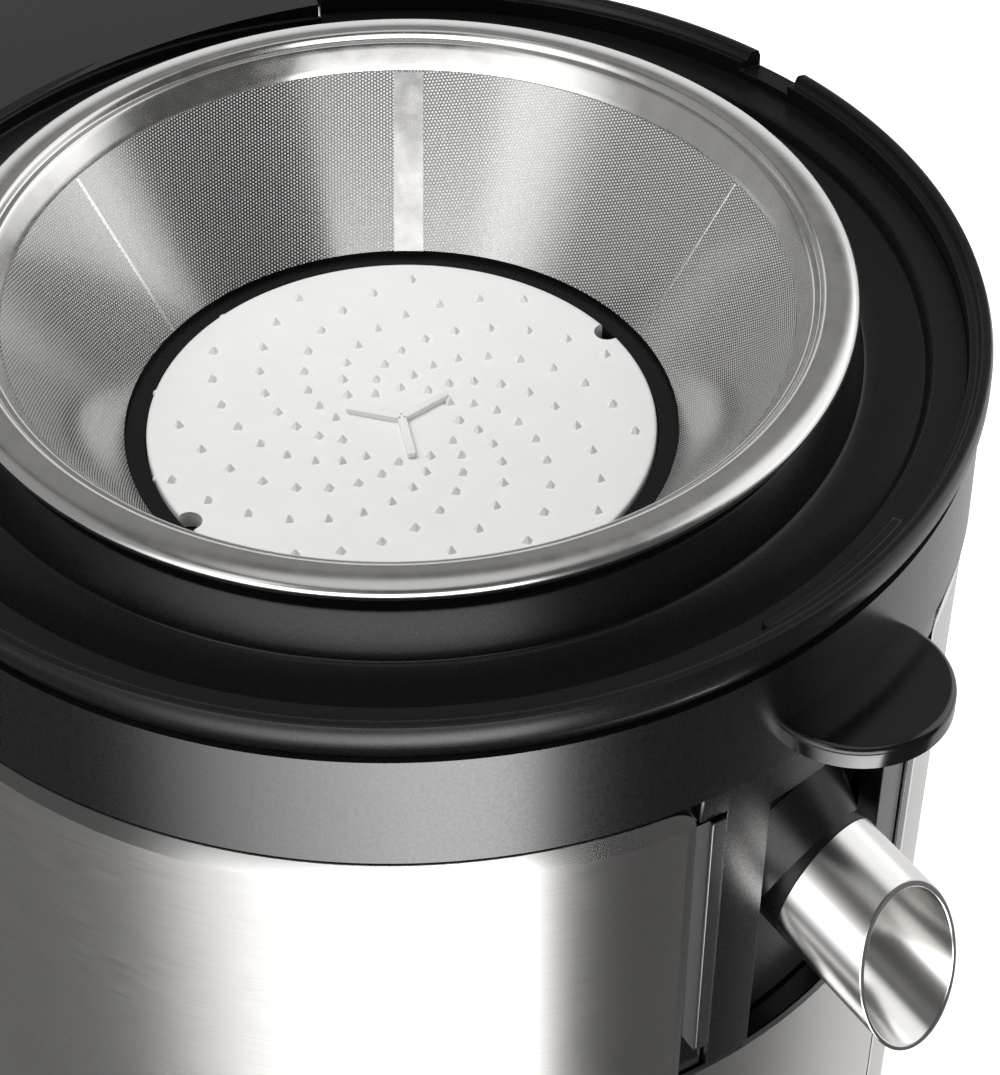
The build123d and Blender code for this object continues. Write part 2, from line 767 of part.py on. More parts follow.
# ---- Write one file per node ----------------------------------------------------------
PARTS = {
    "base_plate": base_plate,
    "rubber_foot_ring": rubber_foot_ring,
    "base_screws": base_screws,
    "base_housing": base_housing,
    "front_panel": front_panel,
    "rear_panel": rear_panel,
    "spout_side_skin": spout_side_skin,
    "pulp_side_cover": pulp_side_cover,
    "spout_recess_trim": spout_recess_trim,
    "cord_gland": cord_gland,
    "knob_bezel": knob_bezel,
    "speed_knob": speed_knob,
    "rotary_switch": rotary_switch,
    "control_board": control_board,
    "interlock_sensor": interlock_sensor,
    "stator_core": stator_core,
    "field_coils": field_coils,
    "lower_motor_bracket": lambda: bracket(lower_bracket_z),
    "upper_motor_bracket": lambda: bracket(upper_bracket_z),
    "lower_bearing": lambda: bearing(lower_bracket_z),
    "upper_bearing": lambda: bearing(upper_bracket_z),
    "motor_bolts": motor_bolts,
    "rubber_mounts": rubber_mounts,
    "brush_holders": brush_holders,
    "carbon_brushes": carbon_brushes,
    "shaft_seal": shaft_seal,
    "motor_shaft": motor_shaft,
    "armature_core": armature_core,
    "armature_windings": armature_windings,
    "commutator": commutator,
    "cooling_fan": cooling_fan,
    "drive_coupling": drive_coupling,
    "bowl_surround": bowl_surround,
    "lid_seat_ring": lid_seat_ring,
    "finger_ledge": finger_ledge,
    "juice_bowl": juice_bowl,
    "splash_channel": splash_channel,
    "spout_block": spout_block,
    "spout_sleeve": spout_sleeve,
    "pulp_shelf": pulp_shelf,
    "basket_rim": basket_rim,
    "basket_mesh": basket_mesh,
    "mesh_seam_strip": mesh_seam_strip,
    "mesh_weld_lines": mesh_weld_lines,
    "disc_carrier": disc_carrier,
    "grating_disc": grating_disc,
    "drive_bush": drive_bush,
    "carrier_screws": carrier_screws,
    "pulp_container": pulp_container,
}

os.makedirs("parts", exist_ok=True)
for node, make in PARTS.items():
    save(node, make())
    print("wrote", node)
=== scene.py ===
# %% [markdown]
# # A centrifugal juicer with its lid off
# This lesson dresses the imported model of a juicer: a steel body, a black bowl
# with a steel spout, and a conical filter basket with a white grating disc.
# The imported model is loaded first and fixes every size. Each later step makes
# one piece or one finish, and says how the real one is made.

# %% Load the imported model
import json
import math

import bmesh
import bpy
from mathutils import Matrix, Vector


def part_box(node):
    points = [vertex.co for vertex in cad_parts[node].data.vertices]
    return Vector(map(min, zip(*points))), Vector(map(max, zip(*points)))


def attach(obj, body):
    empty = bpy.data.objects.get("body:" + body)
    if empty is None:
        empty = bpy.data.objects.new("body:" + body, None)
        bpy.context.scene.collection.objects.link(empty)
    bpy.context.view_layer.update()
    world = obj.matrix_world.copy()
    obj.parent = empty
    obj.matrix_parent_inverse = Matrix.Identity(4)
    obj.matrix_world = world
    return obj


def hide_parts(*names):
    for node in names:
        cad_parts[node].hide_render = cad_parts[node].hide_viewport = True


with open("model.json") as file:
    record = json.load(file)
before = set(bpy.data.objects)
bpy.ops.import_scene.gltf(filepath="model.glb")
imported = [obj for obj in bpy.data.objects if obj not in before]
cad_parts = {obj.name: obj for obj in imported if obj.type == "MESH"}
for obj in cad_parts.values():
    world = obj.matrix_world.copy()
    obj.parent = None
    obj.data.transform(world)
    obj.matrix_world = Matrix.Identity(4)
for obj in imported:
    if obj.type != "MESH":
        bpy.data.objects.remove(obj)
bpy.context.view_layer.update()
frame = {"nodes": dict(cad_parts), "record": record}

# %% [markdown]
# ## Heights and turned shapes
# Nearly every part of a juicer is turned or moulded about one upright axis, so
# a section is drawn once and spun. Heights are easiest to think of as drops
# below the rim of the basket, in millimetres, and one helper turns a drop into
# a height in metres.

# %% Millimetres and drops
MM = 0.001
RIM_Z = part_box("grating_disc")[0].z + 34.0 * MM


def level(drop):
    return RIM_Z - drop * MM


def at(radius, angle, drop):
    """A point from a radius in millimetres, an angle in degrees and a drop."""
    turn = math.radians(angle)
    return Vector((radius * MM * math.cos(turn), radius * MM * math.sin(turn), level(drop)))


print("rim height:", round(RIM_Z, 4))

# %% Turning a section
AXIS = (0, 0, 1)
SAME_SPOT = 1e-6    # corners closer than a thousandth of a millimetre are one


def spin_outline(outline, start=0.0, sweep=360.0, steps=192):
    """A bmesh of a closed section of (radius, drop) corners, spun about the upright axis."""
    bm = bmesh.new()
    corners = [bm.verts.new(at(radius, start, drop)) for radius, drop in outline]
    geom = corners + [bm.edges.new(pair) for pair in zip(corners, corners[1:] + corners[:1])]
    full = sweep >= 360.0
    if not full:
        geom.append(bm.faces.new(corners))
    bmesh.ops.spin(bm, geom=geom, cent=(0, 0, 0), axis=AXIS, dvec=(0, 0, 0),
                   angle=math.radians(sweep), steps=steps, use_merge=full,
                   use_normal_flip=False, use_duplicate=False)
    bmesh.ops.remove_doubles(bm, verts=bm.verts, dist=SAME_SPOT)
    bmesh.ops.recalc_face_normals(bm, faces=bm.faces)
    return bm


# %% From a bmesh to a finished piece
def mark_edges(bm, sharp):
    """Shade every face smooth, and mark the edges that turn by more than an angle as hard."""
    for face in bm.faces:
        face.smooth = True
    for edge in bm.edges:
        edge.smooth = len(edge.link_faces) == 2 and edge.calc_face_angle(0) < math.radians(sharp)


def to_object(bm, name):
    """Turn a bmesh into an object in the scene."""
    mesh = bpy.data.meshes.new(name)
    bm.to_mesh(mesh)
    bm.free()
    piece = bpy.data.objects.new(name, mesh)
    bpy.context.scene.collection.objects.link(piece)
    return piece


def finish_mesh(bm, name, body, sharp=35.0):
    """Make an object, smooth across soft edges, that rides on a body."""
    mark_edges(bm, sharp)
    piece = to_object(bm, name)
    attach(piece, body)
    print("made", name, "with", len(piece.data.polygons), "faces")
    return piece


def soften(piece, width, segments=2):
    """Round the hard edges of a piece a little, so that they catch the light."""
    bevel = piece.modifiers.new("soft edges", "BEVEL")
    bevel.width = width * MM
    bevel.segments = segments
    bevel.limit_method = "ANGLE"
    bevel.angle_limit = math.radians(35.0)


# %% Cutting one shape with another
def carve(piece, cutter_bm):
    """Subtract a closed bmesh from a piece, and keep the result as plain mesh."""
    cutter = to_object(cutter_bm, "cutter")
    cut = piece.modifiers.new("cut", "BOOLEAN")
    cut.operation = "DIFFERENCE"
    cut.solver = "EXACT"
    cut.object = cutter
    bpy.context.view_layer.update()
    carved = piece.evaluated_get(bpy.context.evaluated_depsgraph_get())
    result = bpy.data.meshes.new_from_object(carved)
    piece.modifiers.clear()
    piece.data = result
    bpy.data.objects.remove(cutter)


def resmooth(piece, sharp=35.0):
    """Mark soft and hard edges again after a cut."""
    bm = bmesh.new()
    bm.from_mesh(piece.data)
    bmesh.ops.remove_doubles(bm, verts=bm.verts, dist=SAME_SPOT)
    mark_edges(bm, sharp)
    bm.to_mesh(piece.data)
    bm.free()


def slab(low, high, turn=Matrix.Identity(4)):
    """A closed box between two corners in millimetres, placed by a matrix."""
    bm = bmesh.new()
    bmesh.ops.create_cube(bm, size=1.0)
    low, high = Vector(low) * MM, Vector(high) * MM
    bmesh.ops.scale(bm, vec=high - low, verts=bm.verts)
    bmesh.ops.translate(bm, vec=(low + high) / 2, verts=bm.verts)
    bmesh.ops.transform(bm, matrix=turn, verts=bm.verts)
    return bm


# %% [markdown]
# ## Camera
# The product is seen from the front right and from well above, with a long
# lens, so the round parts are nearly free of perspective. The camera's place
# and its three axes are given as plain vectors and put into one matrix.

# %% Place the camera
camera_data = bpy.data.cameras.new("camera")
camera_data.lens = 115.5
camera_data.sensor_width = 36.0
camera = bpy.data.objects.new("camera", camera_data)
bpy.context.scene.collection.objects.link(camera)
look = Vector((-0.50165, 0.54056, -0.67539)).normalized()
right = Vector((0.73367, 0.67950, -0.00109)).normalized()
above = right.cross(look)
axes = Matrix((right, above, -look)).transposed()
camera.matrix_world = Matrix.Translation((0.3162, -0.3162, 0.6215)) @ axes.to_4x4()
bpy.context.scene.camera = camera
print("camera at", tuple(camera.location))

# %% [markdown]
# ## Finishes
# A finish is a Principled shader fed by a little texture. Metal and plastic
# are never perfectly even: steel has brushing lines, moulded plastic has a
# faint grain and small changes in gloss. Each finish below reads Object
# coordinates, so the pattern is fixed in the piece, in metres.

# %% Building blocks for materials
MATERIALS = {}


def start_material(name, colour, metallic, roughness):
    """A named material with one Principled shader; gives back its node tree and shader."""
    material = bpy.data.materials.new(name)
    material.use_nodes = True
    tree = material.node_tree
    shader = tree.nodes["Principled BSDF"]
    shader.inputs["Base Color"].default_value = (*colour, 1)
    shader.inputs["Metallic"].default_value = metallic
    shader.inputs["Roughness"].default_value = roughness
    MATERIALS[name] = material
    return tree, shader


def noise(tree, scale, stretch=(1, 1, 1), detail=3.0):
    """Noise in object space, in patterns per metre, stretched per axis."""
    place = tree.nodes.new("ShaderNodeTexCoord")
    mapping = tree.nodes.new("ShaderNodeMapping")
    mapping.inputs["Scale"].default_value = stretch
    texture = tree.nodes.new("ShaderNodeTexNoise")
    texture.inputs["Scale"].default_value = scale
    texture.inputs["Detail"].default_value = detail
    tree.links.new(place.outputs["Object"], mapping.inputs["Vector"])
    tree.links.new(mapping.outputs["Vector"], texture.inputs["Vector"])
    return texture.outputs["Fac"]


def spread(tree, value, low, high):
    """Map a 0 to 1 texture on to a range."""
    node = tree.nodes.new("ShaderNodeMapRange")
    node.inputs["From Min"].default_value = 0.3
    node.inputs["From Max"].default_value = 0.7
    node.inputs["To Min"].default_value = low
    node.inputs["To Max"].default_value = high
    tree.links.new(value, node.inputs["Value"])
    return node.outputs["Result"]


def tint(tree, shader, value, dark, light):
    """Vary the base colour between two close tones."""
    ramp = tree.nodes.new("ShaderNodeValToRGB")
    ramp.color_ramp.elements[0].position = 0.3
    ramp.color_ramp.elements[0].color = (*dark, 1)
    ramp.color_ramp.elements[1].position = 0.7
    ramp.color_ramp.elements[1].color = (*light, 1)
    tree.links.new(value, ramp.inputs["Fac"])
    tree.links.new(ramp.outputs["Color"], shader.inputs["Base Color"])


def bump(tree, shader, value, depth, strength=1.0):
    """Raise the surface by a texture; depth in metres."""
    node = tree.nodes.new("ShaderNodeBump")
    node.inputs["Strength"].default_value = strength
    node.inputs["Distance"].default_value = depth
    tree.links.new(value, node.inputs["Height"])
    tree.links.new(node.outputs["Normal"], shader.inputs["Normal"])


# %% [markdown]
# ### Steel
# The body is rolled sheet, brushed round its girth: long streaks that are only
# a few hundredths of a millimetre tall. The rim and the spout are polished,
# with just a breath of unevenness. The streaks are noise squeezed hard along
# the height, and the shader is made anisotropic so that highlights smear up
# and down, across the brushing.

# %% Steel finishes
def brushed_steel():
    tree, shader = start_material("brushed_skin", (0.62, 0.61, 0.59), 1.0, 0.36)
    streaks = noise(tree, 200.0, (0.7, 0.7, 30.0), 3.0)
    fine = noise(tree, 500.0, (0.4, 0.4, 22.0), 2.0)
    tint(tree, shader, streaks, (0.57, 0.56, 0.545), (0.66, 0.65, 0.63))
    tree.links.new(spread(tree, streaks, 0.32, 0.38), shader.inputs["Roughness"])
    bump(tree, shader, fine, 0.000006, 0.5)
    shader.inputs["Anisotropic"].default_value = 0.8
    shader.inputs["Anisotropic Rotation"].default_value = 0.25
    tangent = tree.nodes.new("ShaderNodeTangent")
    tangent.direction_type = "RADIAL"
    tangent.axis = "Z"
    tree.links.new(tangent.outputs["Tangent"], shader.inputs["Tangent"])


def polished_steel():
    tree, shader = start_material("polished_steel", (0.78, 0.77, 0.75), 1.0, 0.22)
    cloud = noise(tree, 25.0, detail=2.0)
    hair = noise(tree, 300.0, (1, 1, 8), 2.0)
    tint(tree, shader, cloud, (0.74, 0.73, 0.71), (0.82, 0.81, 0.79))
    tree.links.new(spread(tree, cloud, 0.20, 0.25), shader.inputs["Roughness"])
    bump(tree, shader, hair, 0.000004, 0.4)


def satin_steel():
    """Pressed sheet that was tumbled: soft gloss with cloudy patches."""
    tree, shader = start_material("satin_steel", (0.76, 0.75, 0.73), 1.0, 0.22)
    cloud = noise(tree, 260.0, detail=4.0)
    tint(tree, shader, cloud, (0.74, 0.73, 0.71), (0.80, 0.79, 0.77))
    tree.links.new(spread(tree, cloud, 0.19, 0.25), shader.inputs["Roughness"])
    bump(tree, shader, cloud, 0.000008, 0.4)


brushed_steel()
polished_steel()
satin_steel()
print("steel:", sorted(MATERIALS))

# %% [markdown]
# ### Filter mesh
# The basket's wall is thin steel sheet with thousands of tiny etched holes in
# staggered rows. Modelling them would take millions of faces, so they are
# drawn by the material, on a UV map that is the flat sheet before rolling.
# Two grids of dots, one moved by half a cell, make the staggered rows.

# %% Etched mesh finish
MESH_PITCH = 0.63 * MM


def mesh_steel():
    tree, shader = start_material("mesh_steel", (0.5, 0.5, 0.49), 1.0, 0.24)
    nodes, links = tree.nodes, tree.links

    def vector(operation, first, second=None):
        node = nodes.new("ShaderNodeVectorMath")
        node.operation = operation
        for slot, value in ((0, first), (1, second)):
            if value is None:
                continue
            if isinstance(value, tuple):
                node.inputs[slot].default_value = value
            else:
                links.new(value, node.inputs[slot])
        return node.outputs["Value" if operation == "LENGTH" else "Vector"]

    sheet = nodes.new("ShaderNodeUVMap")
    sheet.uv_map = "sheet"
    rows = math.sqrt(3)
    cell = vector("MULTIPLY", sheet.outputs["UV"], (1 / MESH_PITCH, 1 / MESH_PITCH / rows, 0))
    reach = []
    for shift in ((0.0, 0.0, 0.0), (0.5, 0.5, 0.0)):
        inside = vector("FRACTION", vector("ADD", cell, shift))
        centred = vector("SUBTRACT", inside, (0.5, 0.5, 0.0))
        reach.append(vector("LENGTH", vector("MULTIPLY", centred, (1.0, rows, 0.0))))
    nearest = nodes.new("ShaderNodeMath")
    nearest.operation = "MINIMUM"
    links.new(reach[0], nearest.inputs[0])
    links.new(reach[1], nearest.inputs[1])
    dot = nodes.new("ShaderNodeMapRange")
    dot.inputs["From Min"].default_value = 0.24
    dot.inputs["From Max"].default_value = 0.34
    dot.inputs["To Min"].default_value = 1.0
    dot.inputs["To Max"].default_value = 0.0
    links.new(nearest.outputs[0], dot.inputs["Value"])
    fleck = noise(tree, 2500.0, detail=1.0)
    ramp = nodes.new("ShaderNodeValToRGB")
    ramp.color_ramp.elements[0].color = (0.50, 0.50, 0.485, 1)
    ramp.color_ramp.elements[1].color = (0.86, 0.86, 0.84, 1)
    links.new(dot.outputs["Result"], ramp.inputs["Fac"])
    mixed = nodes.new("ShaderNodeMix")
    mixed.data_type = "RGBA"
    mixed.blend_type = "MULTIPLY"
    mixed.inputs["Factor"].default_value = 0.25
    links.new(ramp.outputs["Color"], mixed.inputs["A"])
    links.new(fleck, mixed.inputs["B"])
    links.new(mixed.outputs["Result"], shader.inputs["Base Color"])
    metal = nodes.new("ShaderNodeMapRange")
    metal.inputs["To Min"].default_value = 1.0
    metal.inputs["To Max"].default_value = 0.45
    links.new(dot.outputs["Result"], metal.inputs["Value"])
    links.new(metal.outputs["Result"], shader.inputs["Metallic"])
    gloss = nodes.new("ShaderNodeMapRange")
    gloss.inputs["To Min"].default_value = 0.17
    gloss.inputs["To Max"].default_value = 0.45
    links.new(dot.outputs["Result"], gloss.inputs["Value"])
    links.new(gloss.outputs["Result"], shader.inputs["Roughness"])


mesh_steel()
print("hole pitch in millimetres:", round(MESH_PITCH / MM, 2))

# %% [markdown]
# ### Black plastic, ceramic and the rest
# The finger ledge is gloss black, the outer band and the spout column are half
# gloss, so they hold no sharp mirror images, and the bowl inside is satin with
# a moulded grain. The grating disc is glazed ceramic: white, soft
# edged, a touch uneven. The parts inside the body get plain workshop
# finishes of their own, each with the marks of how it is made.

# %% A short way to make a plain finish
def simple(name, dark, light, metallic, rough, scale, stretch=(1, 1, 1), depth=0.00002,
           detail=3.0, specular=0.5):
    """Two close tones, a range of roughness and a shallow grain, all from one noise."""
    tree, shader = start_material(name, light, metallic, rough[0])
    pattern = noise(tree, scale, stretch, detail)
    tint(tree, shader, pattern, dark, light)
    tree.links.new(spread(tree, pattern, *rough), shader.inputs["Roughness"])
    bump(tree, shader, pattern, depth, 0.5)
    shader.inputs["Specular IOR Level"].default_value = specular
    return shader


# %% Plastics and ceramic
GLOSS_TONES = (0.0025, 0.0025, 0.003), (0.004, 0.004, 0.0045)
simple("black_gloss", *GLOSS_TONES, 0.0, (0.14, 0.18), 900.0, depth=0.000002, specular=0.75)
simple("black_satin", (0.004, 0.004, 0.0045), (0.007, 0.007, 0.0075), 0.0, (0.26, 0.34), 2600.0,
       depth=0.00001, specular=0.34)
simple("band_black", *GLOSS_TONES, 0.0, (0.25, 0.30), 1800.0, depth=0.000003, specular=0.8)
simple("column_black", *GLOSS_TONES, 0.0, (0.25, 0.30), 1800.0, depth=0.000003, specular=0.45)
glaze = simple("white_ceramic", (0.87, 0.87, 0.85), (0.89, 0.89, 0.875), 0.0, (0.38, 0.46), 120.0)
glaze.inputs["Coat Weight"].default_value = 0.25
glaze.inputs["Coat Roughness"].default_value = 0.3
simple("white_plastic", (0.70, 0.70, 0.66), (0.78, 0.78, 0.75), 0.0, (0.4, 0.5), 1500.0)
simple("rubber", (0.022, 0.022, 0.022), (0.034, 0.034, 0.033), 0.0, (0.6, 0.75), 2200.0,
       depth=0.00004)

# %% Metals and boards inside the body
simple("zinc_steel", (0.48, 0.48, 0.47), (0.60, 0.60, 0.59), 1.0, (0.3, 0.42), 700.0)
simple("cast_metal", (0.50, 0.51, 0.52), (0.66, 0.67, 0.68), 1.0, (0.45, 0.6), 1200.0,
       depth=0.0001)
simple("laminations", (0.10, 0.10, 0.11), (0.30, 0.30, 0.32), 0.9, (0.4, 0.55), 90.0,
       (0.1, 0.1, 22.0), depth=0.00006)
simple("copper", (0.45, 0.20, 0.08), (0.78, 0.40, 0.18), 0.9, (0.25, 0.4), 70.0,
       (0.3, 0.3, 20.0), depth=0.0001)
simple("brass", (0.70, 0.52, 0.22), (0.80, 0.62, 0.30), 1.0, (0.25, 0.38), 400.0)
simple("carbon", (0.03, 0.03, 0.03), (0.07, 0.07, 0.07), 0.0, (0.5, 0.7), 3000.0, depth=0.00006)
simple("board_green", (0.02, 0.12, 0.05), (0.06, 0.26, 0.12), 0.0, (0.3, 0.42), 260.0, detail=0.0)
print("finishes:", sorted(MATERIALS))

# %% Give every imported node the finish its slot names
slots = {part["node"]: part["material_slot"] for part in frame["record"]["subparts"]}
for node, packed in frame["nodes"].items():
    packed.data.materials.clear()
    packed.data.materials.append(MATERIALS[slots[node]])
print("dressed", len(slots), "nodes")


def dress(piece, *names, slot=None):
    """Give a new piece its materials. The slot argument is not used."""
    for name in names:
        piece.data.materials.append(MATERIALS[name])
    return piece


# %% [markdown]
# ## Filter basket
# The rim is one strip of steel, rolled over outwards with a small bead where
# the band starts. A section with enough corners, spun and then smoothed by a
# Subdivision Surface, gives the soft roll that a sharp profile can't.

# %% Rolled rim
rim_section = [
    (65.5, 4.2), (65.9, 3.6), (67.9, 0.55), (68.2, 0.12), (68.6, -0.08), (69.0, 0.1),
    (69.3, 0.15), (69.55, -0.35), (69.9, -1.1), (70.6, -1.4), (72.5, -1.25), (74.3, -0.85),
    (75.4, -0.3), (75.95, 0.5), (75.7, 1.3), (74.9, 1.8), (74.3, 1.75), (74.3, 1.2),
    (74.7, 0.7), (74.3, 0.2), (73.2, -0.05), (70.8, -0.3), (69.9, 0.4), (68.9, 1.2),
    (66.6, 4.1), (66.0, 4.4),
]
rim = finish_mesh(spin_outline(rim_section, steps=144), "rolled_rim", "filter_basket", 80)
smooth = rim.modifiers.new("smooth roll", "SUBSURF")
smooth.levels = smooth.render_levels = 1
dress(rim, "satin_steel", slot="polished_steel")
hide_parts("basket_rim")
for node in ("mesh_seam_strip", "mesh_weld_lines"):
    frame["nodes"][node].data.materials[0] = MATERIALS["satin_steel"]

# %% [markdown]
# The mesh is a plain cone of sheet. After it is spun, each corner gets its
# place on the flat sheet as a UV: distance from the cone's tip, and the angle
# about the axis shrunk by the cone's slope, as when a paper cone is opened
# out. The cut is hidden under the lap strip.

# %% Mesh cone with a flat-sheet UV map
MESH_TOP, MESH_FOOT = (65.5, 4.2), (47.2, 30.7)
SEAM_ANGLE = 132.5
mesh_slope = math.atan2(MESH_TOP[0] - MESH_FOOT[0], MESH_FOOT[1] - MESH_TOP[1])
mesh_section = [MESH_TOP, MESH_FOOT, (MESH_FOOT[0] + 0.45, MESH_FOOT[1]),
                (MESH_TOP[0] + 0.45, MESH_TOP[1])]
cone = spin_outline(mesh_section, start=SEAM_ANGLE, steps=256)
sheet_map = cone.loops.layers.uv.new("sheet")
for face in cone.faces:
    middle = face.calc_center_median()
    for corner in face.loops:
        spot = corner.vert.co
        turn = math.atan2(middle.y, middle.x) - math.radians(SEAM_ANGLE)
        turn = turn % (2 * math.pi)
        own = math.atan2(spot.y, spot.x) - math.radians(SEAM_ANGLE)
        own = own + 2 * math.pi * round((turn - own) / (2 * math.pi))
        slant = math.hypot(spot.x, spot.y) / math.sin(mesh_slope)
        opened = own * math.sin(mesh_slope)
        corner[sheet_map].uv = (slant * math.cos(opened), slant * math.sin(opened))
mesh_cone = dress(finish_mesh(cone, "etched_cone", "filter_basket"), "mesh_steel")
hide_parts("basket_mesh")

# %% [markdown]
# ## Grating disc
# The disc is fired ceramic. Each tooth is a small pyramid standing in a round
# dimple, and the teeth follow one spiral. A finely spun disc is dented round
# each tooth by moving its corners, then the pyramids are added: short
# four-sided cones, only a few faces each, because there are over a hundred.

# %% Disc with dimples
DISC_R, DISC_DROP, DISC_DEPTH = 43.5, 30.8, 3.2
TEETH, TOOTH_START_R, TOOTH_GROWTH = 115, 8.6, 0.285
TOOTH_START_ANGLE, TOOTH_TURN = 167.0, 30.9


def tooth_spot(step):
    return at(TOOTH_START_R + TOOTH_GROWTH * step, TOOTH_START_ANGLE - TOOTH_TURN * step, DISC_DROP)


rings = 84
disc_section = [(0.02, DISC_DROP)]
disc_section += [(42.9 * (i + 1) / rings, DISC_DROP) for i in range(rings)]
disc_section += [(43.2, DISC_DROP + 0.06), (43.42, DISC_DROP + 0.25), (DISC_R, DISC_DROP + 0.6),
                 (DISC_R, DISC_DROP + DISC_DEPTH), (0.02, DISC_DROP + DISC_DEPTH)]
disc = spin_outline(disc_section, steps=400)
DIMPLE_R, DIMPLE_DEPTH = 1.9, 0.28
spots = [tooth_spot(step) for step in range(TEETH)]
for vert in disc.verts:
    if abs(vert.co.z - level(DISC_DROP)) > SAME_SPOT:
        continue
    for spot in spots:
        reach = (vert.co - spot).length / MM / DIMPLE_R
        if reach < 1:
            vert.co.z -= DIMPLE_DEPTH * MM * (0.5 + 0.5 * math.cos(math.pi * reach))
            break
grater = finish_mesh(disc, "grating_disc_body", "filter_basket", 50)

# %% Tool notches in the disc's edge
for angle in (77.0, -101.0):
    notch = bmesh.new()
    bmesh.ops.create_cone(notch, cap_ends=True, segments=40, radius1=2.25 * MM, radius2=2.25 * MM,
                          depth=12 * MM, matrix=Matrix.Translation(at(DISC_R - 0.6, angle, DISC_DROP)))
    carve(grater, notch)
resmooth(grater, 50)
dress(grater, "white_ceramic")
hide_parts("grating_disc")

# %% Teeth, centre ridge and edge nubs
teeth = bmesh.new()
for step, spot in enumerate(spots):
    turn = Matrix.Rotation(math.radians(37.0 * step), 4, "Z")
    place = Matrix.Translation(spot + Vector((0, 0, 0.42 * MM))) @ turn
    bmesh.ops.create_cone(teeth, cap_ends=True, segments=4, radius1=1.12 * MM, radius2=0.2 * MM,
                          depth=1.45 * MM, matrix=place)
for angle in (206.6, -36.0, 82.8):
    turn = Matrix.Rotation(math.radians(angle), 4, "Z")
    ridge = slab((0, -0.75, 0), (10.0, 0.75, 1.2),
                 Matrix.Translation((0, 0, level(DISC_DROP + 0.05))) @ turn)
    far_end = [e for e in ridge.edges if all(v.co.xy.length > 9 * MM for v in e.verts)]
    bmesh.ops.bevel(ridge, geom=far_end, offset=0.5 * MM, segments=3, profile=0.5,
                    affect="EDGES", material=-1)
    mesh = bpy.data.meshes.new("ridge")
    ridge.to_mesh(mesh)
    ridge.free()
    teeth.from_mesh(mesh)
for angle in (181.0, 212.0, 242.0):
    place = Matrix.Translation(at(DISC_R - 0.35, angle, DISC_DROP + 0.7))
    bmesh.ops.create_icosphere(teeth, subdivisions=2, radius=0.75 * MM, matrix=place)
tooth_set = finish_mesh(teeth, "grating_teeth", "filter_basket", 30)
soften(tooth_set, 0.14, 2)
dress(tooth_set, "white_ceramic")

# %% [markdown]
# ## Bowl
# The bowl's lip flares out under the basket, drops into a gutter and rises to
# a flat flange inside the collar. It is one moulding, so it is one section.
# On the pulp side the flange is missing and the gutter runs on to the wall
# under the shelf, so the section changes there.

# %% Splash gutter
lip = [(71.3, 5.4), (73.3, 5.4), (73.7, 5.9), (76.4, 11.0), (76.8, 11.7), (77.1, 12.6), (77.8, 13.0)]
gutter_front = lip + [(86.9, 13.0), (87.5, 12.6), (88.1, 10.9), (88.7, 10.4), (94.2, 10.4),
                      (94.2, 13.7), (89.8, 13.7), (88.8, 15.8), (72.5, 15.8)]
gutter_pulp = lip + [(92.9, 13.3), (93.3, 13.0), (93.6, 11.0), (94.2, 10.8), (94.2, 14.6),
                     (89.8, 14.6), (88.8, 15.8), (72.5, 15.8)]
PULP_HALF = 37.0
front_sweep = 360 - 2 * PULP_HALF
gutter = finish_mesh(spin_outline(gutter_front, -(180 - PULP_HALF), front_sweep, 160),
                     "splash_gutter", "juice_bowl")
gutter_back = finish_mesh(spin_outline(gutter_pulp, 180 - PULP_HALF, 2 * PULP_HALF, 48),
                          "splash_gutter_pulp_side", "juice_bowl")
for part in (gutter, gutter_back):
    soften(part, 0.2)
    dress(part, "black_satin")
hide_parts("splash_channel")

# %% [markdown]
# ## Collar for the lid
# The lid drops inside a low collar with a stepped top. Two slanted notches
# take the lid's lugs, and a short tab over the spout sets its direction.

# %% Collar, notches and tab
collar_section = [(94.2, 7.2), (95.3, 7.2), (95.5, 7.0), (96.0, 5.75), (96.25, 5.6), (97.2, 5.6),
                  (97.6, 5.75), (98.0, 6.9), (98.0, 9.7), (97.75, 10.3), (95.75, 13.7), (94.2, 13.7)]
collar = finish_mesh(spin_outline(collar_section, -(180 - PULP_HALF), front_sweep, 240),
                     "lid_collar", "juice_bowl")
for side in (1, -1):
    skew = Matrix.Rotation(math.radians(-22.0 * side), 4, "Z")
    round_to = Matrix.Rotation(math.radians(-0.8 * side), 4, "Z")
    place = round_to @ Matrix.Translation((0, 96 * side * MM, level(4))) @ skew
    carve(collar, slab((-5.1, -7, -5), (5.1, 7, 5), place))
resmooth(collar)
soften(collar, 0.2)
dress(collar, "black_satin")
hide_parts("lid_seat_ring")
tab = finish_mesh(spin_outline([(92.3, 7.2), (94.6, 7.2), (94.6, 9.8), (92.3, 9.8)], -10, 20, 20),
                  "lid_tab", "juice_bowl")
soften(tab, 0.6, 3)
dress(tab, "black_satin")

# %% [markdown]
# ## Outer band and spout column
# The gloss band goes right round under the collar. Over the spout it runs
# down as a column with a window that frames the spout. The column is a short
# piece of the same tube, with the window cut out by a Boolean.

# %% Band
band_section = [(97.0, 13.7), (97.0, 35.5), (96.7, 35.8), (94.2, 35.8), (94.2, 43.0),
                (91.4, 43.0), (91.4, 13.7)]
band = finish_mesh(spin_outline(band_section, steps=256), "gloss_band", "juice_bowl", 40)
dress(band, "band_black", slot="black_gloss")
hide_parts("bowl_surround")

# %% Column with its window
COLUMN_HALF, COLUMN_FOOT = 14.6, 104.5


def skin_radius(drop):
    """The body narrows slightly towards its foot."""
    return 96.4 - (drop - 42.3) * math.tan(math.radians(1.3))


